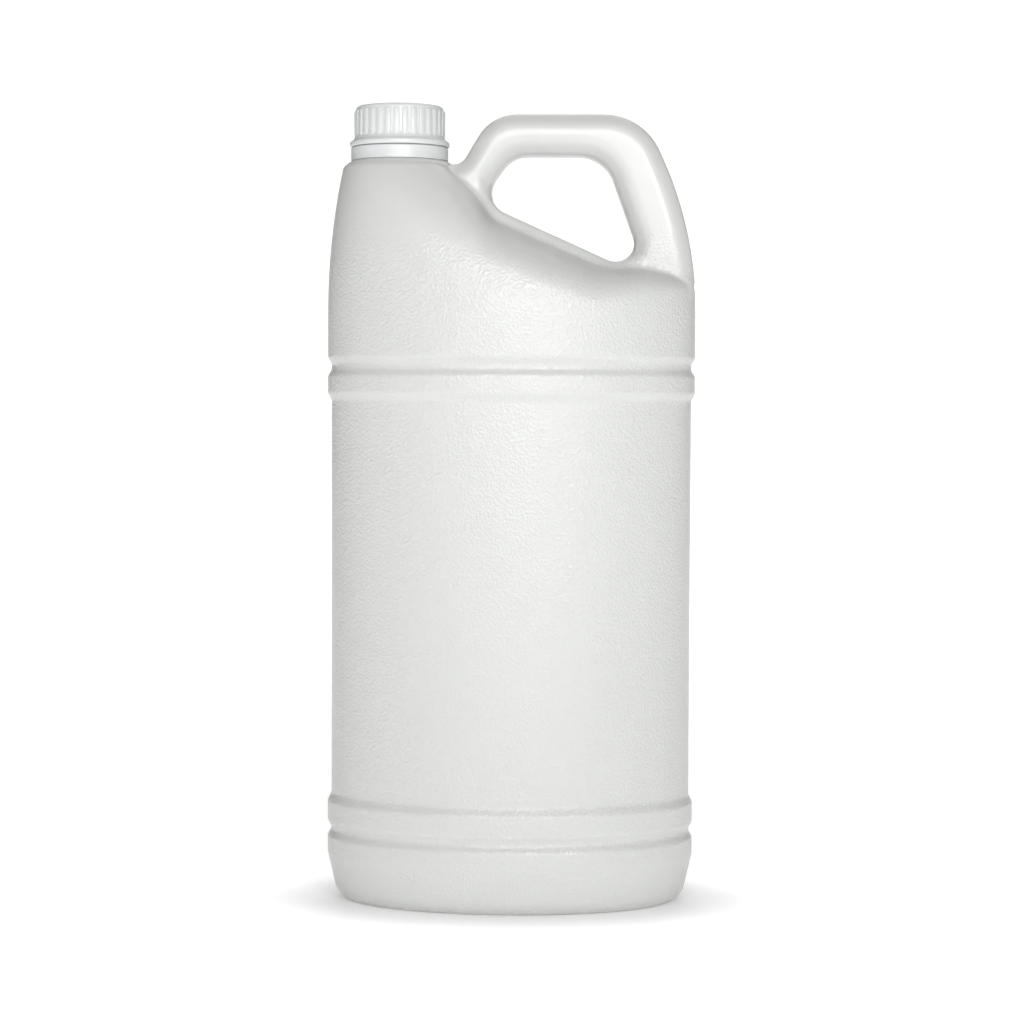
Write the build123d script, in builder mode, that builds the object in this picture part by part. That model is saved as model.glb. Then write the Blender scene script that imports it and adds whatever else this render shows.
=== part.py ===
"""Blow-moulded jug with a hollow side handle, a ribbed screw cap, its sealing wad and its tamper ring.

Frame: millimetres, +Z up, +X towards the handle, -Y towards the viewer.
The origin is the middle of the foot, on the surface that the jug stands on.
"""

import os
from math import acos, asin, cos, degrees, pi, sin

from build123d import *

os.makedirs("parts", exist_ok=True)

# Body
body_width = 167.0  # across the raised bands, towards the handle
body_depth = 100.0  # front to back
wall = 1.3  # blown wall
oval_points = 16  # points that each oval is drawn through

# Foot
foot_radius = 9.0  # round between the foot and the drafted skirt
skirt_height = 22.0  # drafted part of the lower bulge
skirt_draft = 5.0  # draft of the skirt, carried down to the foot
skirt_round = 30.0  # soft round between the skirt and the upright bulge
push_up_depth = 4.0  # how far the floor is pushed up inside the foot
push_up_margin = 19.0  # foot ring, measured in from the bulge
push_up_slope = 7.0

# Lower groove, lower band and label panel
bulge_top = 29.6
lower_groove_floor = 1.6
lower_groove_height = 7.0
groove_slope = 2.6  # height of a groove's sloping side
lower_band_height = 9.0
lower_band_slope = 3.4
panel_height = 179.5
panel_recess = 1.7
upper_band_slope = 3.0
upper_band_height = 8.0
upper_groove_height = 8.0
upper_groove_floor = 1.7
edge_round = 1.1  # rounding of each crest and root along the bands

# Shoulder
crown_height = 15.5  # upright wall between the upper groove and the shoulder
shoulder_height = 72.5  # up to the flat platform that the neck stands on
platform_radius = 25.2
platform_round = 3.0
side_lean_delay = 5.0  # height above the shoulder's start where the sides begin to lean in
front_lean_delay = 12.0
side_lean_power = 2.0
front_lean_power = 2.2
roof_rise = 11.2  # height of the roof's low end above the shoulder's start
roof_slope = 0.4366  # rise of the roof towards the neck, per length
roof_foot_round = 10.0
roof_neck_round = 15.0
roof_stations = (0.0, 0.045, 0.085, 0.13, 0.24, 0.38, 0.52, 0.66, 0.78, 0.86, 0.93, 1.0)

# Handle, in the plane of the mould's parting line
grip_rise = 22.3  # platform to the top of the handle
grip_height = 19.4  # top bar of the handle, top to bottom
grip_depth = 27.0  # handle, front to back
grip_round = 8.0
grip_web = 1.0  # how far the handle's lower edge stands above the roof
grip_front_reach = 42.0  # neck axis to the corner where the front leg meets the top bar
grip_root_reach = 28.4  # neck axis to the corner where the front leg meets the platform
grip_front_round = 20.0
grip_root_round = 6.0
grip_back_round = 27.7  # round behind the top bar
grip_back_sweep = 168.0  # long sweep of the back leg
grip_back_end = 3.0  # height above the lean's start where the back leg turns into the body
grip_tail = 14.0  # run of the legs inside the body
grip_burial = 0.5  # how far the front root lies under the platform
gap_front_reach = 51.5  # neck axis to the finger gap's upper front corner
gap_front_foot_reach = 36.3
gap_back_margin = 41.6  # body's side to the finger gap's upper back corner
gap_back_foot_margin = 21.7
gap_rounds = (10.0, 12.0, 8.5, 10.4)

# Neck
neck_setback = 32.5  # neck axis, in from the body's side
neck_height = 22.3  # platform to rim
neck_radius = 17.3
bore_radius = 14.9
rim_round = 0.6
collar_radius = 21.3  # step that the tamper ring stands on
collar_foot_radius = 23.8
collar_height = 1.4
bead_radius = 19.7
bead_height = 1.3

# Cap and tamper ring
fit = 0.3  # clearance between pieces that seat or run on each other
ring_height = 4.4
ring_radius = 22.1
ring_wall = 1.6
ring_bevel = 0.7
ring_snap_height = 1.5
tear_gap = 1.3  # opening between the cap's flange and the tamper ring
flange_radius = 22.7
flange_height = 2.5
flare_height = 1.6
cap_radius = 20.0  # between the ribs
rib_height = 0.65
rib_count = 32
groove_width = 1.5
flange_round = 0.8
bead_clearance = 0.7
snap_clearance = 1.2
cap_top_round = 2.2
cap_top_thickness = 1.7
skirt_wall = 1.2
liner_thickness = 1.2
liner_radius = 17.9

# Heights that follow
half_width = body_width / 2
half_depth = body_depth / 2
lower_band_start = bulge_top + lower_groove_height
panel_start = lower_band_start + lower_band_height + lower_band_slope
panel_end = panel_start + panel_height
upper_band_start = panel_end + upper_band_slope
upper_band_end = upper_band_start + upper_band_height
upper_groove_end = upper_band_end + upper_groove_height
shoulder_start = upper_groove_end + crown_height
side_lean_start = shoulder_start + side_lean_delay
front_lean_start = shoulder_start + front_lean_delay
platform_height = shoulder_start + shoulder_height
rim_height = platform_height + neck_height
ring_start = platform_height + collar_height + fit
ring_end = ring_start + ring_height
bead_start = ring_end + fit
cap_start = ring_end + tear_gap
liner_start = rim_height + fit
cap_end = liner_start + liner_thickness + fit + cap_top_thickness
roof_end = shoulder_start + roof_rise
grip_top = platform_height + grip_rise
gap_top = grip_top - grip_height

# Places across the width that follow
neck_position = neck_setback - half_width
gap_foot_front = neck_position + gap_front_foot_reach
gap_foot_back = half_width - gap_back_foot_margin
roof_corner_height = roof_end + roof_slope * (half_width - gap_foot_front)
gap_corners = [
    (neck_position + gap_front_reach, gap_top),
    (half_width - gap_back_margin, gap_top),
    (gap_foot_back, roof_end + roof_slope * gap_back_foot_margin + grip_web),
    (gap_foot_front, roof_corner_height + grip_web),
]

neck_axis = Axis((neck_position, 0, 0), (0, 0, 1))

# Height and draw-in of the wall at each corner of its profile, from the foot up
wall_corners = [
    (0.0, skirt_draft),
    (skirt_height, 0.0),
    (bulge_top, 0.0),
    (bulge_top + groove_slope, lower_groove_floor),
    (lower_band_start - groove_slope, lower_groove_floor),
    (lower_band_start, 0.0),
    (lower_band_start + lower_band_height, 0.0),
    (panel_start, panel_recess),
    (panel_end, panel_recess),
    (upper_band_start, 0.0),
    (upper_band_end, 0.0),
    (upper_band_end + groove_slope, upper_groove_floor),
    (upper_groove_end - groove_slope, upper_groove_floor),
    (upper_groove_end, 0.0),
    (shoulder_start, 0.0),
]

# Side view of the roof, from the back of the body up to the platform
with BuildLine() as roof:
    FilletPolyline(
        (half_width, shoulder_start),
        (half_width, roof_end),
        (gap_foot_front, roof_corner_height),
        (neck_position + platform_radius, platform_height),
        radius=[roof_foot_round, roof_neck_round],
    )
roof_edge = roof.wire()


def oval(height, left, right, depth):
    """Draw one level section of the body, from its left and right ends and its half depth."""
    middle, reach = (left + right) / 2, (right - left) / 2
    turns = [2 * pi * step / oval_points for step in range(oval_points)]
    with BuildSketch(Plane.XY.offset(height)) as section:
        with BuildLine():
            Spline([(middle + reach * cos(t), depth * sin(t)) for t in turns], periodic=True)
        make_face()
    return section.sketch


def lean(height, start, total, power):
    """Return how far the shoulder has leaned in at a height."""
    risen = max(0.0, height - start) / (platform_height - start)
    return total * risen**power


def body_form(inset):
    """Build the upright body below the shoulder, drawn in by inset all round."""
    levels = [height for height, recess in wall_corners]
    levels[0] = inset
    with BuildPart() as form:
        for level, (height, recess) in zip(levels, wall_corners):
            draw = recess + inset
            add(oval(level, draw - half_width, half_width - draw, half_depth - draw))
        loft(ruled=True)
    return form.part


def shoulder_form(inset):
    """Build the leaning shoulder with its sloping roof, drawn in and lowered by inset."""
    with BuildPart() as form:
        for station in roof_stations:
            point = roof_edge @ station
            side = lean(point.Y, side_lean_start, half_width + neck_position - platform_radius, side_lean_power)
            front = lean(point.Y, front_lean_start, half_depth - platform_radius, front_lean_power)
            left = side - half_width + inset
            add(oval(point.Y - inset, left, point.X - inset, half_depth - front - inset))
        loft()
    return form.part


def push_up_form(grown):
    """Build the hollow that the floor is pushed up by, grown all round."""
    foot, floor = push_up_margin - grown, push_up_margin + push_up_slope - grown
    with BuildPart() as form:
        with BuildSketch(Plane.XY):
            Ellipse(half_width - foot, half_depth - foot)
        with BuildSketch(Plane.XY.offset(push_up_depth + grown)):
            Ellipse(half_width - floor, half_depth - floor)
        loft()
    return form.part


def body_rings(form):
    """List the outermost closed edge at each height of a form, from the foot up."""
    levels = form.edges().filter_by(lambda edge: edge.is_closed).group_by(Axis.Z)
    return [level.sort_by(SortBy.LENGTH)[-1] for level in levels]


def body_shell():
    """Build the hollow upright body, open at the top, with its foot and the crests of its bands rounded."""
    outside, inside, under_floor = body_form(0), body_form(wall), push_up_form(0)
    with BuildPart() as room:
        add(inside)
        fillet(body_rings(room)[0], foot_radius - wall)
    above_floor = push_up_form(wall)
    with BuildPart() as shell:
        add(outside)
        add(room.part - above_floor, mode=Mode.SUBTRACT)
        add(under_floor, mode=Mode.SUBTRACT)
        fillet(body_rings(shell)[1 - len(wall_corners)], skirt_round)
        fillet(body_rings(shell)[2 - len(wall_corners) : -1], edge_round)
        fillet(body_rings(shell)[0], foot_radius)
    return shell.part


def rounded_shoulder():
    """Build the outside of the shoulder, with the edge of its platform rounded."""
    with BuildPart() as form:
        add(shoulder_form(0))
        fillet(form.edges().filter_by(lambda edge: edge.is_closed).sort_by(Axis.Z)[-1], platform_round)
    return form.part


def handle_form(inset):
    """Build the handle around its finger gap, drawn in by inset all round."""
    drop = grip_top - side_lean_start
    turn = acos((drop - grip_back_round) / (grip_back_sweep - grip_back_round))
    back_x = half_width - grip_back_sweep + (grip_back_sweep - grip_back_round) * sin(turn)
    back_turn = asin(grip_back_end / grip_back_sweep)
    front_x, front_z = neck_position + bore_radius, platform_height - grip_burial
    with BuildPart() as form:
        with BuildSketch(Plane.XZ):
            with BuildLine():
                front = FilletPolyline(
                    (front_x, front_z),
                    (neck_position + grip_root_reach, front_z),
                    (neck_position + grip_front_reach, grip_top),
                    (back_x, grip_top),
                    radius=[grip_root_round, grip_front_round],
                )
                corner = JernArc(front @ 1, (1, 0), grip_back_round, -degrees(turn))
                sweep = JernArc(corner @ 1, corner % 1, grip_back_sweep, degrees(turn + back_turn) - 90)
                Polyline(
                    sweep @ 1,
                    (half_width - grip_tail, shoulder_start - inset),
                    (front_x, gap_corners[3][1] - grip_tail),
                    front @ 0,
                )
            make_face()
            with BuildLine():
                FilletPolyline(gap_corners, radius=gap_rounds, close=True)
            make_face(mode=Mode.SUBTRACT)
            offset(amount=-inset)
        extrude(amount=grip_depth / 2 - inset, both=True)
        rims = form.faces().filter_by(Axis.Y).edges()
        buried = rims.filter_by(GeomType.LINE).filter_by(lambda rim: (rim @ 0.5).Z < gap_corners[2][1])
        fillet(rims - buried, grip_round - inset)
    return form.part


# Bottle: one hollow blow moulding with its handle, shoulder and neck
lower_shell = body_shell()
outer_shoulder, outer_handle = rounded_shoulder(), handle_form(0)
inner_shoulder, inner_handle = shoulder_form(wall), handle_form(wall)
with BuildPart() as bottle:
    add(outer_shoulder)
    add(outer_handle)
    with BuildSketch(Plane.XZ):
        with BuildLine():
            Polyline(
                (neck_position, platform_height - wall / 2),
                (neck_position + collar_foot_radius, platform_height - wall / 2),
                (neck_position + collar_radius, platform_height + collar_height),
                (neck_position + neck_radius, platform_height + collar_height),
                (neck_position + neck_radius, bead_start),
                (neck_position + bead_radius, bead_start),
                (neck_position + neck_radius, bead_start + bead_height + bead_radius - neck_radius),
                (neck_position + neck_radius, rim_height),
                (neck_position, rim_height),
                close=True,
            )
        make_face()
    revolve(axis=neck_axis)
    add(inner_shoulder, mode=Mode.SUBTRACT)
    add(inner_handle, mode=Mode.SUBTRACT)
    with BuildSketch(Plane.XY.offset(rim_height)):
        with Locations((neck_position, 0)):
            Circle(bore_radius)
    extrude(amount=platform_height - 2 * wall - rim_height, mode=Mode.SUBTRACT)
    rim = bottle.edges().filter_by(GeomType.CIRCLE).sort_by(Axis.Z)[-2:]
    fillet(rim, rim_round)
    add(lower_shell)

# Tamper ring: torn free of the cap, it stands loosely on the neck's collar
with BuildPart() as tamper_ring:
    with BuildSketch(Plane.XZ):
        with BuildLine():
            Polyline(
                (neck_position + ring_radius - ring_wall, ring_start),
                (neck_position + ring_radius, ring_start),
                (neck_position + ring_radius, ring_end - ring_bevel),
                (neck_position + ring_radius - ring_bevel, ring_end),
                (neck_position + neck_radius + snap_clearance, ring_end),
                (neck_position + neck_radius + snap_clearance, ring_end - ring_snap_height),
                (neck_position + ring_radius - ring_wall, ring_end - ring_snap_height - ring_bevel),
                close=True,
            )
        make_face()
    revolve(axis=neck_axis)

# Sealing wad: a loose disc under the top of the cap
with BuildPart() as cap_liner:
    with BuildSketch(Plane.XY.offset(liner_start)):
        with Locations((neck_position, 0)):
            Circle(liner_radius)
    extrude(amount=liner_thickness)

# Screw cap: a ribbed skirt that flares into a flange over the bead
rib_radius = cap_radius + rib_height
rib_start = cap_start + flange_height + flare_height
with BuildPart() as screw_cap:
    with BuildSketch(Plane.XZ):
        with BuildLine():
            Polyline(
                (neck_position, cap_start),
                (neck_position + flange_radius, cap_start),
                (neck_position + flange_radius, cap_start + flange_height),
                (neck_position + rib_radius, rib_start),
                (neck_position + rib_radius, cap_end),
                (neck_position, cap_end),
                close=True,
            )
        make_face()
    revolve(axis=neck_axis)
    rims = screw_cap.edges().filter_by(GeomType.CIRCLE).sort_by(Axis.Z)
    fillet(rims[-1], cap_top_round)
    fillet(rims[:2], flange_round)
    with BuildSketch(Plane.XY.offset(rib_start)):
        with Locations((neck_position, 0)):
            with PolarLocations(rib_radius, rib_count):
                Rectangle(2 * rib_height, groove_width)
    extrude(amount=cap_end - rib_start, mode=Mode.SUBTRACT)
    with BuildSketch(Plane.XY.offset(cap_start)):
        with Locations((neck_position, 0)):
            Circle(cap_radius - skirt_wall)
    extrude(amount=cap_end - cap_top_thickness - cap_start, mode=Mode.SUBTRACT)
    with BuildSketch(Plane.XY.offset(cap_start)):
        with Locations((neck_position, 0)):
            Circle(bead_radius + bead_clearance)
    extrude(amount=flange_height, mode=Mode.SUBTRACT)

pieces = {"bottle": bottle, "tamper_ring": tamper_ring, "cap_liner": cap_liner, "screw_cap": screw_cap}
for name, piece in pieces.items():
    piece.part.label = name
    export_step(piece.part, f"parts/{name}.step")
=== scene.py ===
"""Looks of a blow-moulded jug with a hollow side handle, a ribbed screw cap, a tamper ring and a foam wad.

Lengths in the shape functions are millimetres, in the part's own frame: +Z up, +X towards the handle,
-Y to the viewer.
"""

from math import acos, asin, atan2, cos, pi, radians, sin

import bpy
import numpy as np
from mathutils import Matrix, Vector


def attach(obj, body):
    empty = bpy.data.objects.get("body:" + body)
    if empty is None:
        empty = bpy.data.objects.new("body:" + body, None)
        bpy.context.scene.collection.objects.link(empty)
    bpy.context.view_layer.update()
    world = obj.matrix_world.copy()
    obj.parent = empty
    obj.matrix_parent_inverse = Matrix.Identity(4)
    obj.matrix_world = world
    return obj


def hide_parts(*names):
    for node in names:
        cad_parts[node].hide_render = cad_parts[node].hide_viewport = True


MM = 0.001

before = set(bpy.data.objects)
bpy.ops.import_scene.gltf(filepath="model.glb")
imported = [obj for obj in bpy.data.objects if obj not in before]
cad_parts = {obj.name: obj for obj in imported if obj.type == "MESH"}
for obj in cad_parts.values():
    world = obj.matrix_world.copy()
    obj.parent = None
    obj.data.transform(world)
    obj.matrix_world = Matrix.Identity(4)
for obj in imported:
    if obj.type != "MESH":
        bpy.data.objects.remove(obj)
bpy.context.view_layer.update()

# Body
HALF_WIDTH, HALF_DEPTH = 83.5, 50.0
WALL = 1.3
FOOT_ROUND = 7.5
PUSH_UP_DEPTH = 4.0
PUSH_UP_MARGIN = 21.0
# Height and draw-in of the wall at each corner of its profile, from the foot up
PROFILE = [
    (-20.0, 9.5), (22.0, 0.0), (29.6, 0.0), (32.2, 1.6), (34.0, 1.6), (36.6, 0.0), (45.6, 0.0), (49.0, 1.7),
    (228.5, 1.7), (231.5, 0.0), (239.5, 0.0), (242.1, 1.7), (244.9, 1.7), (247.5, 0.0), (400.0, 0.0),
]
EDGE_SOFTNESS, PUSH_UP_SOFTNESS = 0.5, 4.0

# Shoulder
PLATFORM = 335.5
PLATFORM_RADIUS, PLATFORM_ROUND = 25.2, 2.8
SIDE_LEAN_START, FRONT_LEAN_START = 268.0, 264.0
SIDE_LEAN_POWER, FRONT_LEAN_POWER = 2.0, 2.1
# Side view of the roof's ridge, from the neck down to the flat round the handle's foot
ROOF_CORNERS = [(-60.0, 380.3), (-7.0, 309.5), (40.0, 289.1), (90.0, 287.5), (400.0, 270.0)]
ROOF_ROUNDS = [0, 15, 25, 0, 0]
# The same slope run on past the flat. The wall's right end follows it, so far beyond it
LEAN_CORNERS, LEAN_ROUNDS = [(-60.0, 380.3), (-7.0, 310.3), (110.0, 259.5)], [0, 15, 0]
ROOF_OVERHANG, ROOF_END_SOFTNESS = 30.0, 14.0
# Fall of the roof from its ridge to the front and back, for each square millimetre of distance
ROOF_CROWN = 0.005
ROOF_EDGE_ROUND = 8.0

# Handle
GRIP_TOP, GRIP_DEPTH = 357.4, 27.0
CORNER_ROUND, BACK_SWEEP = 27.7, 168.0
GRIP_FRONT_CORNERS = [(-36.1, 335.0), (-22.6, 335.0), (-9.0, GRIP_TOP), (40.0, GRIP_TOP)]
GRIP_FRONT_ROUNDS = [0, 6, 20, 0]
# The back's sweep stops this far above its start, and the handle runs out into the body from there
SWEEP_END = 14.0
GRIP_TAIL = [(79.8, 262.0), (69.5, 250.0), (-36.1, 300.0), (-36.1, 335.0)]
GAP_CORNERS = [(0.5, 338.9), (41.9, 338.9), (61.8, 283.6), (-14.7, 318.2)]
GAP_ROUNDS = [13.0, 17.0, 8.5, 10.4]
GRIP_EDGE_ROUND = 2.0
# Cut of the handle's facets on the ridge under the gap, and what it gains over the first millimetres above
RIDGE_FACET, FACET_GAIN, FACET_RISE, FACET_SOFTNESS = 1.0, 3.0, 9.0, 2.0
# Hollow round where handle and body meet, which fades out over the last millimetres to the outer outline
JOIN_ROUND, JOIN_FADE = 3.0, 12.0

# Neck, cap, ring and wad
NECK_X = -51.0
THREAD_PITCH = 4.25
RIB_COUNT = 32


# ---------------------------------------------------------------- shape of the blow moulding

def rounded(corners, rounds, closed=True, steps=14):
    """List points along a polygon with rounded corners."""
    corners = [np.array(c, float) for c in corners]
    points = []
    for i, (corner, radius) in enumerate(zip(corners, rounds)):
        if radius == 0:
            points.append(corner)
            continue
        a = corners[i - 1] - corner
        b = corners[(i + 1) % len(corners)] - corner
        a, b = a / np.hypot(*a), b / np.hypot(*b)
        half = acos(np.clip(a @ b, -1, 1)) / 2
        middle = (a + b) / np.hypot(*(a + b))
        centre = corner + middle * radius / sin(half)
        start, end = corner + a * radius / np.tan(half), corner + b * radius / np.tan(half)
        first = atan2(*(start - centre)[::-1])
        turn = (atan2(*(end - centre)[::-1]) - first + pi) % (2 * pi) - pi
        for s in np.linspace(0, 1, steps):
            points.append(centre + radius * np.array([cos(first + turn * s), sin(first + turn * s)]))
    if closed:
        points.append(points[0])
    return np.array(points)


def outline_distance(outline, xs, zs):
    """Give the signed distance to a closed outline, negative inside, at each crossing of xs and zs."""
    x, z = np.meshgrid(xs, zs, indexing="ij")
    nearest = np.full(x.shape, 1e9)
    inside = np.zeros(x.shape, bool)
    for (x0, z0), (x1, z1) in zip(outline[:-1], outline[1:]):
        dx, dz = x1 - x0, z1 - z0
        length = dx * dx + dz * dz
        if length == 0:
            continue
        t = np.clip(((x - x0) * dx + (z - z0) * dz) / length, 0, 1)
        nearest = np.minimum(nearest, (x - x0 - t * dx) ** 2 + (z - z0 - t * dz) ** 2)
        if dz != 0:
            crosses = ((z0 > z) != (z1 > z)) & (x < x0 + (z - z0) * dx / dz)
            inside ^= crosses
    nearest = np.sqrt(nearest)
    return np.where(inside, -nearest, nearest)


def grid_lookup(table, xs, zs, x, z):
    """Read a table over even xs and zs at any points, between its entries."""
    u = np.clip((x - xs[0]) / (xs[1] - xs[0]), 0, len(xs) - 1.001)
    v = np.clip((z - zs[0]) / (zs[1] - zs[0]), 0, len(zs) - 1.001)
    i, j = u.astype(int), v.astype(int)
    u, v = u - i, v - j
    low = table[i, j] * (1 - u) + table[i + 1, j] * u
    high = table[i, j + 1] * (1 - u) + table[i + 1, j + 1] * u
    return low * (1 - v) + high * v


def round_both(a, b, radius):
    """Keep what lies inside both shapes, with a round edge."""
    u, v = np.maximum(a + radius, 0), np.maximum(b + radius, 0)
    return np.minimum(np.maximum(a, b), -radius) + np.hypot(u, v)


def soft_join(a, b, reach):
    """Join two shapes with a soft hollow round where they meet."""
    reach = np.maximum(reach, 1e-3)
    near = np.maximum(reach - np.abs(a - b), 0) / reach
    return np.minimum(a, b) - near * near * reach / 4


def handle_outline():
    """Draw the handle's outer outline, with its tail inside the body."""
    middle = HALF_WIDTH - BACK_SWEEP
    turn = acos((GRIP_TOP - SIDE_LEAN_START - CORNER_ROUND) / (BACK_SWEEP - CORNER_ROUND))
    centre = middle + (BACK_SWEEP - CORNER_ROUND) * sin(turn), GRIP_TOP - CORNER_ROUND
    front = rounded(GRIP_FRONT_CORNERS, GRIP_FRONT_ROUNDS, closed=False)
    arc = [
        (centre[0] + CORNER_ROUND * sin(a), centre[1] + CORNER_ROUND * cos(a))
        for a in np.linspace(0, turn, 16)
    ]
    back = [
        (middle + BACK_SWEEP * cos(a), SIDE_LEAN_START + BACK_SWEEP * sin(a))
        for a in np.linspace(pi / 2 - turn, asin(SWEEP_END / BACK_SWEEP), 24)
    ]
    return np.array(list(front[:-1]) + arc + back + GRIP_TAIL)


OUTLINE_X, OUTLINE_Z = np.arange(-50, 100, 0.5), np.arange(240, 375, 0.5)
GRIP_OUTER = outline_distance(handle_outline(), OUTLINE_X, OUTLINE_Z)
GRIP_GAP = outline_distance(rounded(GAP_CORNERS, GAP_ROUNDS), OUTLINE_X, OUTLINE_Z)

heights = np.arange(-20, 400, 0.1)
draw_in = np.interp(heights, *np.array(PROFILE).T)
spread = np.exp(-0.5 * (np.arange(-40, 41) * 0.1 / EDGE_SOFTNESS) ** 2)
draw_in = np.convolve(np.pad(draw_in, 40, "edge"), spread / spread.sum(), "valid")
draw_in = np.where(heights < 20, np.interp(heights, *np.array(PROFILE).T), draw_in)

roof = rounded(ROOF_CORNERS, ROOF_ROUNDS, closed=False)
lean = rounded(LEAN_CORNERS, LEAN_ROUNDS, closed=False)


def wall_field(x, y, z):
    """Give the level distance to the body's wall, as half ovals about a middle that shifts towards the neck."""
    inset = np.interp(z, heights, draw_in)
    back = HALF_WIDTH - BACK_SWEEP + np.sqrt(BACK_SWEEP**2 - np.clip(z - SIDE_LEAN_START, 0, 100) ** 2)
    rise = np.clip((z - SIDE_LEAN_START) / (PLATFORM - SIDE_LEAN_START), 0, 1)
    beyond = np.interp(z, lean[::-1, 1], lean[::-1, 0]) + ROOF_OVERHANG * (1 - rise**3)
    right = soft_join(back, beyond, ROOF_END_SOFTNESS) - inset
    middle = NECK_X * rise * rise * (3 - 2 * rise)
    left = inset - HALF_WIDTH + (HALF_WIDTH + NECK_X - PLATFORM_RADIUS) * rise**SIDE_LEAN_POWER
    rise = np.clip((z - FRONT_LEAN_START) / (PLATFORM - FRONT_LEAN_START), 0, 1)
    depth = HALF_DEPTH - inset - (HALF_DEPTH - PLATFORM_RADIUS) * rise**FRONT_LEAN_POWER
    reach = np.where(x > middle, right - middle, middle - left)
    u, v = (x - middle) / reach, y / depth
    ratio = np.hypot(u, v)
    return ratio * (ratio - 1) / np.maximum(np.hypot(u / reach, v / depth), 1e-6)


def body_field(x, y, z):
    """Give the distance to the body without its handle and neck."""
    wall = wall_field(x, y, z)
    slope = wall_field(x, y, z + 0.4) - wall_field(x, y, z - 0.4)
    wall = wall / np.sqrt(1 + (slope / 0.8) ** 2)
    ridge = np.interp(x, roof[:, 0], roof[:, 1])
    tilt = (np.interp(x + 1, roof[:, 0], roof[:, 1]) - np.interp(x - 1, roof[:, 0], roof[:, 1])) / 2
    above = (z - ridge + ROOF_CROWN * y * y) / np.sqrt(1 + tilt * tilt + (2 * ROOF_CROWN * y) ** 2)
    body = round_both(wall, above, ROOF_EDGE_ROUND)
    body = round_both(body, -z, FOOT_ROUND)
    body = round_both(body, z - PLATFORM, PLATFORM_ROUND)
    hollow = np.hypot(x / (HALF_WIDTH - PUSH_UP_MARGIN), y / (HALF_DEPTH - PUSH_UP_MARGIN)) - 1
    hollow = np.maximum(hollow * (HALF_DEPTH - PUSH_UP_MARGIN), z - PUSH_UP_DEPTH)
    return -soft_join(-body, hollow, PUSH_UP_SOFTNESS)


def grip_field(x, y, z):
    """Give the distance to the handle, with its soft facets, and to its outer outline."""
    outer = grid_lookup(GRIP_OUTER, OUTLINE_X, OUTLINE_Z, x, z)
    gap = grid_lookup(GRIP_GAP, OUTLINE_X, OUTLINE_Z, x, z)
    side = np.abs(y) - GRIP_DEPTH / 2
    edge = np.maximum(outer, -gap)
    grip = round_both(edge, side, GRIP_EDGE_ROUND)
    (x0, z0), (x1, z1) = GAP_CORNERS[3], GAP_CORNERS[2]
    above_ridge = ((x1 - x0) * (z - z0) - (z1 - z0) * (x - x0)) / np.hypot(x1 - x0, z1 - z0)
    facet = RIDGE_FACET + FACET_GAIN * np.clip(above_ridge / FACET_RISE, 0, 1)
    return -soft_join(-grip, -((edge + side) / 2**0.5 + facet), FACET_SOFTNESS), outer


def bottle_field(x, y, z):
    """Give the distance to the whole blow moulding without its neck."""
    body = body_field(x, y, z)
    grip, outer = grip_field(x, y, z)
    reach = JOIN_ROUND * np.clip(-outer / JOIN_FADE, 0, 1)
    return soft_join(body, grip, reach)


def gradient(field, points):
    """Give a field's slope at each point."""
    step = 0.05
    slopes = []
    for axis in range(3):
        move = np.zeros(3)
        move[axis] = step
        slopes.append((field(*(points + move).T) - field(*(points - move).T)) / (2 * step))
    return np.stack(slopes, 1)


def net(field, xs, ys, zs):
    """Mesh the surface where a field is zero, on a grid of uneven steps, with each corner moved onto the surface."""
    grid = field(*np.meshgrid(xs, ys, zs, indexing="ij"))
    inside = grid < 0
    shape = tuple(n - 1 for n in grid.shape)
    total, count = np.zeros(shape + (3,)), np.zeros(shape)
    axes = [np.asarray(a, float) for a in (xs, ys, zs)]
    crossings = []
    for axis in range(3):
        low = [slice(None)] * 3
        high = [slice(None)] * 3
        low[axis], high[axis] = slice(0, -1), slice(1, None)
        low, high = tuple(low), tuple(high)
        index = np.argwhere(inside[low] != inside[high])
        beyond = index.copy()
        beyond[:, axis] += 1
        a, b = grid[tuple(index.T)], grid[tuple(beyond.T)]
        start = np.stack([axes[k][index[:, k]] for k in range(3)], 1)
        start[:, axis] += a / (a - b) * (axes[axis][beyond[:, axis]] - axes[axis][index[:, axis]])
        others = [k for k in range(3) if k != axis]
        for p in (0, -1):
            for q in (0, -1):
                cell = index.copy()
                cell[:, others[0]] += p
                cell[:, others[1]] += q
                valid = np.all((cell >= 0) & (cell < shape), 1)
                where = tuple(cell[valid].T)
                np.add.at(total, where, start[valid])
                np.add.at(count, where, 1)
        crossings.append((axis, index, a < 0))
    used = count > 0
    number = np.full(shape, -1)
    number[used] = np.arange(used.sum())
    points = total[used] / count[used][:, None]
    for _ in range(4):
        slope = gradient(field, points)
        move = field(*points.T)[:, None] * slope / np.maximum((slope**2).sum(1), 1e-6)[:, None]
        points -= np.clip(move, -1.0, 1.0)
    quads = []
    for axis, index, leaving in crossings:
        p, q = [(1, 2), (2, 0), (0, 1)][axis]
        keep = (index[:, p] > 0) & (index[:, q] > 0) & (index[:, p] < shape[p]) & (index[:, q] < shape[q])
        index, leaving = index[keep], leaving[keep]
        corners = []
        for dp, dq in ((0, 0), (-1, 0), (-1, -1), (0, -1)):
            cell = index.copy()
            cell[:, p] += dp
            cell[:, q] += dq
            corners.append(number[tuple(cell.T)])
        quad = np.stack(corners, 1)
        quad[~leaving] = quad[~leaving][:, ::-1]
        quads.append(quad)
    return points, np.concatenate(quads)


def steps(*stops):
    """List grid planes between stops, each stop with the spacing that leads to the next."""
    planes = []
    for (start, spacing), (end, _) in zip(stops[:-1], stops[1:]):
        planes += list(np.linspace(start, end, max(1, round((end - start) / spacing)), endpoint=False))
    return np.array(planes + [stops[-1][0]])


# ---------------------------------------------------------------- mesh helpers

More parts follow.
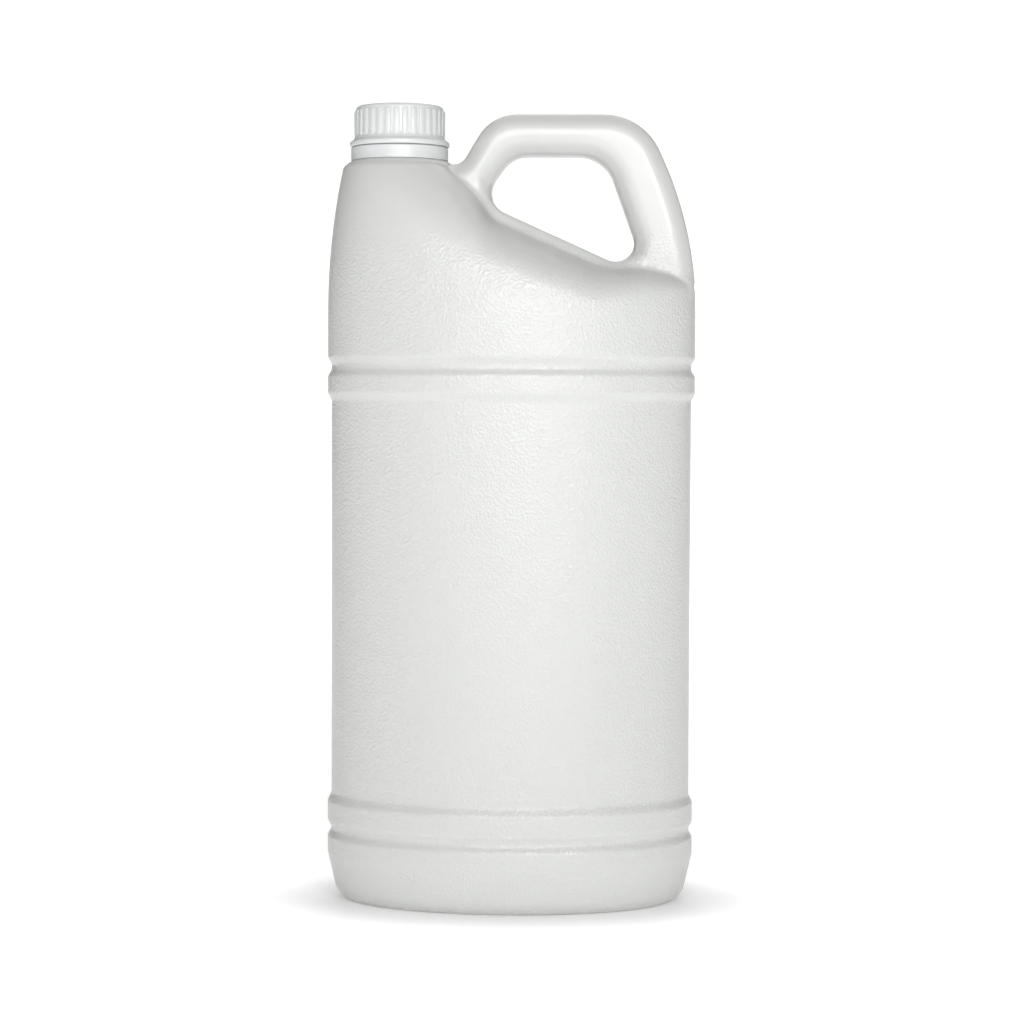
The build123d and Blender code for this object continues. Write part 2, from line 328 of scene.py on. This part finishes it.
def linear(code):
    """Turn an sRGB hex colour into linear values for a shader."""
    channels = [int(code[i : i + 2], 16) / 255 for i in (1, 3, 5)]
    return tuple(c / 12.92 if c <= 0.04045 else ((c + 0.055) / 1.055) ** 2.4 for c in channels) + (1.0,)


def piece(name, points, faces, material, body, smooth=True):
    """Make one visible piece from points in millimetres, on its CAD body."""
    mesh = bpy.data.meshes.new(name)
    mesh.from_pydata((np.asarray(points) * MM).tolist(), [], [list(f) for f in faces])
    mesh.materials.append(material)
    if smooth:
        mesh.shade_smooth()
    mesh.update()
    made = bpy.data.objects.new(name, mesh)
    bpy.context.scene.collection.objects.link(made)
    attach(made, body)
    return made


def braced(outline, margin=0.15):
    """Add points near the ends of long straight runs, so that flats shade flat beside their round edges."""
    points = []
    for start, end in zip(outline, np.roll(outline, -1, axis=0)):
        length = np.hypot(*(end - start))
        points.append(start)
        if length > 1.0:
            points += [start + (end - start) * share for share in (margin / length, 1 - margin / length)]
    return points


def revolved(profile, segments=96):
    """Turn a closed outline of (radius, height) about the neck axis. The outline runs anticlockwise."""
    turns = np.arange(segments) * 2 * pi / segments
    points, rings = [], []
    for r, z in braced(profile):
        on_axis = r == 0
        first = len(points)
        points += [(NECK_X + r * cos(t), r * sin(t), z) for t in turns[: 1 if on_axis else segments]]
        rings.append([first] * segments if on_axis else list(range(first, first + segments)))
    faces = []
    for ring, following in zip(rings, rings[1:] + rings[:1]):
        for s in range(segments):
            n = (s + 1) % segments
            face = list(dict.fromkeys((ring[s], ring[n], following[n], following[s])))
            if len(face) > 2:
                faces.append(face)
    return np.array(points), faces


def lathe_outline(corners, steps=6):
    """Round a lathe outline's corners, each given as (radius, height, round)."""
    return rounded([(r, z) for r, z, _ in corners], [c for _, _, c in corners], closed=False, steps=steps)


# ---------------------------------------------------------------- nodes

def add_node(tree, kind, inputs=(), **settings):
    """Add a node, set its properties, and set or link its inputs by place or name."""
    node = tree.nodes.new(kind)
    for key, value in settings.items():
        setattr(node, key, value)
    for key, value in dict(inputs).items():
        if isinstance(value, bpy.types.NodeSocket):
            tree.links.new(value, node.inputs[key])
        else:
            node.inputs[key].default_value = value
    return node


def plastic(name, colour, roughness, ior, subsurface=0.0, reach=0.0):
    """Start a plastic: its colour, shine and how far light runs inside it."""
    material = bpy.data.materials.new(name)
    material.use_nodes = True
    shader = material.node_tree.nodes["Principled BSDF"]
    shader.inputs["Base Color"].default_value = linear(colour)
    shader.inputs["Roughness"].default_value = roughness
    shader.inputs["IOR"].default_value = ior
    shader.inputs["Subsurface Weight"].default_value = subsurface
    shader.inputs["Subsurface Radius"].default_value = (1.0, 0.95, 0.88)
    shader.inputs["Subsurface Scale"].default_value = reach * MM
    return material, material.node_tree, shader


def natural_polyethylene():
    """Blow-moulded natural HDPE: milky, softly shining, with the mould's fine leather grain on its walls."""
    material, tree, shader = plastic("blow-moulded natural HDPE", "#CBCCCA", 0.3, 1.54, 0.3, 3.0)
    place = add_node(tree, "ShaderNodeTexCoord")
    parts = add_node(tree, "ShaderNodeSeparateXYZ", {0: place.outputs["Object"]})
    # Cells of the leather grain etched into the mould, in mm, which stop where the shoulder turns smooth
    grain_size = 1.15
    cells = add_node(tree, "ShaderNodeTexVoronoi", {
        "Vector": place.outputs["Object"], "Scale": 1 / (grain_size * MM), "Smoothness": 0.5, "Randomness": 1.0,
    }, feature="SMOOTH_F1")
    walls = add_node(tree, "ShaderNodeMapRange", {
        0: parts.outputs["Z"], 1: 0.286, 2: 0.316, 3: 1.0, 4: 0.0,
    }, interpolation_type="SMOOTHSTEP")
    # Slow waves of the blown wall, 22 mm apart
    drift = add_node(tree, "ShaderNodeTexNoise", {"Vector": place.outputs["Object"], "Scale": 45.0, "Detail": 1.0})
    leather = add_node(tree, "ShaderNodeMath", {
        0: cells.outputs["Distance"], 1: walls.outputs[0],
    }, operation="MULTIPLY")
    height = add_node(tree, "ShaderNodeMath", {
        0: drift.outputs["Fac"], 1: 1.2, 2: leather.outputs[0],
    }, operation="MULTIPLY_ADD")
    bump = add_node(tree, "ShaderNodeBump", {"Strength": 0.6, "Distance": 0.00042, "Height": height.outputs[0]})
    tree.links.new(bump.outputs[0], shader.inputs["Normal"])
    return material


def white_polypropylene():
    """Injection-moulded white PP: an even white with a soft shine from a polished mould."""
    return plastic("injection-moulded white PP", "#D0D2D2", 0.33, 1.49, 0.15, 1.5)[0]


def foam():
    """Extruded polyethylene foam: matt white, with closed cells of about 0.4 mm."""
    material, tree, shader = plastic("extruded PE foam", "#F2F1EC", 0.8, 1.3, 0.2, 1.0)
    place = add_node(tree, "ShaderNodeTexCoord")
    cells = add_node(tree, "ShaderNodeTexVoronoi", {"Vector": place.outputs["Object"], "Scale": 1 / (0.4 * MM)})
    bump = add_node(tree, "ShaderNodeBump", {
        "Strength": 0.4, "Distance": 0.0001, "Height": cells.outputs["Distance"],
    })
    tree.links.new(bump.outputs[0], shader.inputs["Normal"])
    return material


def shape_tree(name, sockets):
    """Start a Geometry Nodes tree with named inputs and a geometry output."""
    tree = bpy.data.node_groups.new(name, "GeometryNodeTree")
    for label, kind, value in sockets:
        item = tree.interface.new_socket(name=label, in_out="INPUT", socket_type=kind)
        if value is not None:
            item.default_value = value
    tree.interface.new_socket(name="Geometry", in_out="OUTPUT", socket_type="NodeSocketGeometry")
    return tree, tree.nodes.new("NodeGroupInput")


def finish_tree(tree, made, material_socket):
    """End a tree with real geometry and its material."""
    real = add_node(tree, "GeometryNodeRealizeInstances", {0: made})
    painted = add_node(tree, "GeometryNodeSetMaterial", {0: real.outputs[0], "Material": material_socket})
    end = tree.nodes.new("NodeGroupOutput")
    tree.links.new(painted.outputs[0], end.inputs[0])


def rib_ring_tree():
    """Set copies of one rib evenly round a ring."""
    tree, given = shape_tree("rib ring", [
        ("Rib", "NodeSocketObject", None), ("Count", "NodeSocketInt", 32),
        ("Material", "NodeSocketMaterial", None),
    ])
    rib = add_node(tree, "GeometryNodeObjectInfo", {"Object": given.outputs["Rib"]})
    line = add_node(tree, "GeometryNodeMeshLine", {"Count": given.outputs["Count"], "Offset": (0.0, 0.0, 0.0)})
    index = add_node(tree, "GeometryNodeInputIndex")
    turn = add_node(tree, "ShaderNodeMath", {0: 2 * pi, 1: given.outputs["Count"]}, operation="DIVIDE")
    angle = add_node(tree, "ShaderNodeMath", {0: index.outputs[0], 1: turn.outputs[0]}, operation="MULTIPLY")
    spin = add_node(tree, "ShaderNodeCombineXYZ", {"Z": angle.outputs[0]})
    copies = add_node(tree, "GeometryNodeInstanceOnPoints", {
        "Points": line.outputs[0], "Instance": rib.outputs["Geometry"], "Rotation": spin.outputs[0],
    })
    moved = add_node(tree, "GeometryNodeTransform", {
        0: copies.outputs[0], "Translation": (NECK_X * MM, 0.0, 0.0),
    })
    finish_tree(tree, moved.outputs[0], given.outputs["Material"])
    return tree


def thread_tree():
    """Sweep a thread's section along a helix about the neck axis."""
    tree, given = shape_tree("screw thread", [
        ("Radius", "NodeSocketFloat", 0.018), ("Pitch", "NodeSocketFloat", 0.00425),
        ("Turns", "NodeSocketFloat", 1.5), ("Start", "NodeSocketFloat", 0.347),
        ("Root", "NodeSocketFloat", 0.002), ("Crest", "NodeSocketFloat", 0.001),
        ("Depth", "NodeSocketFloat", 0.001), ("Material", "NodeSocketMaterial", None),
    ])
    height = add_node(tree, "ShaderNodeMath", {
        0: given.outputs["Pitch"], 1: given.outputs["Turns"],
    }, operation="MULTIPLY")
    helix = add_node(tree, "GeometryNodeCurveSpiral", {
        "Resolution": 72, "Rotations": given.outputs["Turns"], "Start Radius": given.outputs["Radius"],
        "End Radius": given.outputs["Radius"], "Height": height.outputs[0],
    })
    section = add_node(tree, "GeometryNodeCurvePrimitiveQuadrilateral", {
        "Height": given.outputs["Depth"], "Bottom Width": given.outputs["Root"],
        "Top Width": given.outputs["Crest"], "Offset": 0.0,
    }, mode="TRAPEZOID")
    upright = add_node(tree, "GeometryNodeSetCurveNormal", {0: helix.outputs[0]}, mode="Z_UP")
    swept = add_node(tree, "GeometryNodeCurveToMesh", {
        "Curve": upright.outputs[0], "Profile Curve": section.outputs[0], "Fill Caps": True,
    })
    lift = add_node(tree, "ShaderNodeCombineXYZ", {"X": NECK_X * MM, "Z": given.outputs["Start"]})
    moved = add_node(tree, "GeometryNodeTransform", {0: swept.outputs[0], "Translation": lift.outputs[0]})
    finish_tree(tree, moved.outputs[0], given.outputs["Material"])
    return tree


def grown(name, tree, values, material, body, smooth=True):
    """Run a Geometry Nodes tree and keep its result as a plain piece."""
    made = bpy.data.objects.new(name, bpy.data.meshes.new(name))
    bpy.context.scene.collection.objects.link(made)
    modifier = made.modifiers.new("shape", "NODES")
    modifier.node_group = tree
    sockets = {item.name: item.identifier for item in tree.interface.items_tree if item.in_out == "INPUT"}
    for label, value in {**values, "Material": material}.items():
        modifier[sockets[label]] = value
    bpy.context.view_layer.update()
    result = bpy.data.meshes.new_from_object(made.evaluated_get(bpy.context.evaluated_depsgraph_get()))
    made.modifiers.clear()
    made.data = result
    if smooth:
        result.set_sharp_from_angle(angle=radians(35))
    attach(made, body)
    return made


# ---------------------------------------------------------------- materials

hdpe = natural_polyethylene()
white_pp = white_polypropylene()
pe_foam = foam()

# ---------------------------------------------------------------- the blow moulding

coarse = 1.0
plan = 1.6 * coarse
across = steps((-87.0, plan), (88.0, plan))
deep = steps((-54.0, plan), (54.0, plan))
up = steps(
    (-2.0, 0.8), (10.0, 1.6), (27.0, 0.55), (51.5, 4.0), (226.0, 0.55), (250.0, 1.6), (262.0, 1.4 * coarse),
    (338.0, 1.6 * coarse), (361.0, 1),
)
points, quads = net(bottle_field, across, deep, up)
middles = points[quads].mean(1)
under_neck = (np.hypot(middles[:, 0] - NECK_X, middles[:, 1]) < 17) & (middles[:, 2] > PLATFORM - 1)
jug = piece("jug_body", points, quads[~under_neck], hdpe, "jug")
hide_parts("bottle")


def room_field(x, y, z):
    """Give the distance to the room inside the blow moulding."""
    return bottle_field(x, y, z) + WALL


inner_plan = 3.2 * coarse
points, quads = net(
    room_field,
    steps((-87.0, inner_plan), (88.0, inner_plan)),
    steps((-54.0, inner_plan), (54.0, inner_plan)),
    steps((-2.0, 2.0), (30.0, 1.5), (50.0, 8.0), (226.0, 1.5), (262.0, 2.8), (361.0, 1)),
)
middles = points[quads].mean(1)
under_neck = (np.hypot(middles[:, 0] - NECK_X, middles[:, 1]) < 15.5) & (middles[:, 2] > PLATFORM - 4)
inside = piece("jug_inside", points, quads[~under_neck][:, ::-1], hdpe, "jug")
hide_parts("bottle")

# Outlines of the turned pieces: (radius, height, corner round)
neck_outline = lathe_outline([
    (24.4, 333.6, 0.0), (23.8, 335.4, 1.2), (21.6, 336.6, 0.4), (17.3, 336.6, 0.5), (17.3, 341.9, 0.3),
    (19.7, 341.9, 0.4), (19.7, 342.7, 0.5), (17.3, 345.6, 0.8), (17.3, 357.8, 0.6), (14.9, 357.8, 0.6),
    (14.9, 336.0, 4.0), (17.5, 333.6, 0.0),
])
points, faces = revolved(neck_outline, 128)
neck = piece("jug_neck", points, faces, hdpe, "jug")
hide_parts("bottle")

# ---------------------------------------------------------------- cap, ring and wad

cap_outline = lathe_outline([
    (20.4, 342.9, 0.0), (22.7, 342.9, 0.7), (22.7, 344.9, 0.7), (20.9, 346.3, 0.8), (20.0, 348.2, 0.8),
    (20.0, 361.3, 1.9), (0.0, 361.3, 0.0),
    (0.0, 359.6, 0.0), (18.8, 359.6, 0.5), (18.8, 345.4, 0.3), (20.4, 345.4, 0.0),
])
points, faces = revolved(cap_outline, 128)
cap = piece("cap_shell", points, faces, white_pp, "cap")
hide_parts("screw_cap")


def rib_block():
    """Make one rib of the cap: a flat pad with a square top end that runs out into the flare below."""
    inner, outer = 19.6, 20.65
    half = 1.28
    # Height, outer radius and share of the full width at each level
    stations = [
        (346.3, 20.0, 0.9), (347.6, 20.45, 1.0), (349.2, outer, 1.0), (358.6, outer, 1.0), (359.15, outer - 0.3, 0.9),
    ]
    points, faces = [], []
    for z, reach, share in stations:
        w = half * share
        points += [(inner, -w - 0.15, z), (reach - 0.2, -w, z), (reach, -w + 0.3, z)]
        points += [(reach, w - 0.3, z), (reach - 0.2, w, z), (inner, w + 0.15, z)]
    for s in range(len(stations) - 1):
        for i in range(5):
            a = s * 6 + i
            faces.append((a, a + 1, a + 7, a + 6))
    faces.append(tuple(range(5, -1, -1)))
    faces.append(tuple(range((len(stations) - 1) * 6, len(stations) * 6)))
    mesh = bpy.data.meshes.new("rib_block")
    mesh.from_pydata((np.array(points) * MM).tolist(), [], faces)
    return bpy.data.objects.new("rib_block", mesh)


rib = rib_block()
ribs = grown("cap_ribs", rib_ring_tree(), {"Rib": rib, "Count": RIB_COUNT}, white_pp, "cap")
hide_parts("screw_cap")

neck_thread = grown("neck_thread", thread_tree(), {
    "Radius": 17.75 * MM, "Pitch": THREAD_PITCH * MM, "Turns": 1.75, "Start": 347.4 * MM,
    "Root": 2.0 * MM, "Crest": 0.9 * MM, "Depth": 1.1 * MM,
}, hdpe, "jug")
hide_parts("bottle")

ring_outline = lathe_outline([
    (20.5, 336.68, 0.1), (22.1, 336.68, 0.3), (22.1, 342.1, 0.3), (21.6, 342.65, 0.2), (18.5, 342.5, 0.1),
    (18.5, 340.1, 0.2), (20.5, 339.4, 0.3),
])
points, faces = revolved(ring_outline, 128)
ring = piece("tamper_band", points, faces, white_pp, "jug")
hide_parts("tamper_ring")

wad_outline = lathe_outline([(0.0, 358.1, 0.0), (17.9, 358.1, 0.25), (17.9, 359.3, 0.25), (0.0, 359.3, 0.0)])
points, faces = revolved(wad_outline, 96)
wad = piece("wad_disc", points, faces, pe_foam, "wad")
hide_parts("cap_liner")

# ---------------------------------------------------------------- floor, light and camera

ROOM_LEVEL = 0.06
LIT_POINT = Vector((0, 0, 0.2))
# The photo's view: metres from the jug's axis and above the floor, and turns in degrees
EYE_DISTANCE, EYE_HEIGHT, EYE_AZIMUTH = 1.149, 0.230, 1.9
EYE_YAW, EYE_PITCH, EYE_ROLL = 0.03, 2.61, 0.22

floor_paint = bpy.data.materials.new("matt white paper with painted glow")
floor_paint.use_nodes = True
floor_shader = floor_paint.node_tree.nodes["Principled BSDF"]
floor_shader.inputs["Base Color"].default_value = linear("#F6F6F6")
floor_shader.inputs["Roughness"].default_value = 0.7
# Painted light: the floor's white glow, its strength set by the nodes below
floor_shader.inputs["Emission Color"].default_value = linear("#FFFFFF")
# Painted light: the sheet glows though it is no lamp, more with distance from the jug and least right beside the oval
# foot, which paints a soft contact shadow round it
paint = floor_paint.node_tree
floor_place = add_node(paint, "ShaderNodeTexCoord")
from_foot = add_node(paint, "ShaderNodeVectorMath", {
    0: floor_place.outputs["Object"], 1: (1 / (HALF_WIDTH * MM), 1 / (HALF_DEPTH * MM), 0.0),
}, operation="MULTIPLY")
from_foot = add_node(paint, "ShaderNodeVectorMath", {0: from_foot.outputs[0]}, operation="LENGTH")
# Painted contact shadow: the glow falls from 0.5 to 0.15 close round the oval foot
glow_with_painted_contact_shadow = add_node(paint, "ShaderNodeMapRange", {
    0: from_foot.outputs["Value"], 1: 0.9, 2: 1.55, 3: 0.15, 4: 0.5,
}, interpolation_type="SMOOTHSTEP")
from_middle = add_node(paint, "ShaderNodeVectorMath", {0: floor_place.outputs["Object"]}, operation="LENGTH")
# Painted light: more glow further from the jug's middle
painted_far_glow = add_node(paint, "ShaderNodeMapRange", {
    0: from_middle.outputs["Value"], 1: 0.3, 2: 1.6, 3: 0.0, 4: 0.4,
})
painted_floor_glow = add_node(paint, "ShaderNodeMath", {0: glow_with_painted_contact_shadow.outputs[0], 1: painted_far_glow.outputs[0]}, operation="ADD")
paint.links.new(painted_floor_glow.outputs[0], floor_shader.inputs["Emission Strength"])
sheet = bpy.data.meshes.new("paper_floor")
half_sheet = 6.0
corners = [(x * half_sheet, y * half_sheet, 0) for x, y in ((-1, -1), (1, -1), (1, 1), (-1, 1))]
sheet.from_pydata(corners, [], [(0, 1, 2, 3)])
sheet.materials.append(floor_paint)
floor = bpy.data.objects.new("paper_floor", sheet)
bpy.context.scene.collection.objects.link(floor)

world = bpy.data.worlds.new("white studio")
bpy.context.scene.world = world
world.use_nodes = True
sky = world.node_tree
sky_light = sky.nodes["Background"]
direction = add_node(sky, "ShaderNodeTexCoord").outputs["Generated"]


def wall_of_light(towards, wide, narrow, level):
    """Light from one side of the room: full within one angle of a direction, none outside another."""
    facing = add_node(sky, "ShaderNodeVectorMath", {
        0: direction, 1: Vector(towards).normalized(),
    }, operation="DOT_PRODUCT")
    fade = add_node(sky, "ShaderNodeMapRange", {
        0: facing.outputs["Value"], 1: cos(radians(wide)), 2: cos(radians(narrow)), 3: 0.0, 4: level,
    }, interpolation_type="SMOOTHSTEP")
    return fade.outputs[0]


# Direction, the two angles in degrees and the strength of each wall of light, over a dim even room
room = ROOM_LEVEL
for towards, wide, narrow, level in [
    ((0, 1, 0), 26, 16, 1.0),
    ((0, 0, 1), 66, 36, 0.32),
    ((0, 1, 0.35), 70, 30, 0.14),
    ((0, -1, 0.2), 60, 20, 0.12),
]:
    light = wall_of_light(towards, wide, narrow, level)
    room = add_node(sky, "ShaderNodeMath", {0: room, 1: light}, operation="ADD").outputs[0]
# The paper sweep behind the jug is white from every side, and shines on it only as the patches above do
seen = add_node(sky, "ShaderNodeLightPath").outputs["Is Camera Ray"]
room = add_node(sky, "ShaderNodeMath", {0: room, 1: seen}, operation="MAXIMUM").outputs[0]
sky.links.new(room, sky_light.inputs["Strength"])
sky_light.inputs["Color"].default_value = linear("#FFFFFF")


def softbox(name, place, size, power):
    """Hang a rectangular softbox that faces the jug. Place and size are metres, power is watts."""
    lamp = bpy.data.lights.new(name, "AREA")
    lamp.shape = "RECTANGLE"
    lamp.size, lamp.size_y = size
    lamp.energy = power
    made = bpy.data.objects.new(name, lamp)
    made.location = place
    made.rotation_euler = (LIT_POINT - Vector(place)).to_track_quat("-Z", "Y").to_euler()
    bpy.context.scene.collection.objects.link(made)
    return made


softbox("strip_softbox", (0.1, -1.95, 0.8), (1.5, 0.6), 23.5)
softbox("key_softbox", (0.66, -1.87, 0.6), (0.28, 0.28), 5)
softbox("rear_softbox", (0, 1.25, 1.75), (1.4, 0.9), 6)

eye = bpy.data.cameras.new("camera")
eye.sensor_width = 36.0
eye.lens = 88.6
camera = bpy.data.objects.new("camera", eye)
bpy.context.scene.collection.objects.link(camera)
azimuth = radians(EYE_AZIMUTH)
turned = (
    Matrix.Rotation(azimuth - radians(EYE_YAW), 4, "Z")
    @ Matrix.Rotation(radians(90 - EYE_PITCH), 4, "X")
    @ Matrix.Rotation(radians(EYE_ROLL), 4, "Z")
)
standpoint = EYE_DISTANCE * sin(azimuth), -EYE_DISTANCE * cos(azimuth), EYE_HEIGHT
camera.matrix_world = Matrix.Translation(standpoint) @ turned
bpy.context.scene.camera = camera
bpy.context.scene.view_settings.view_transform = "Standard"
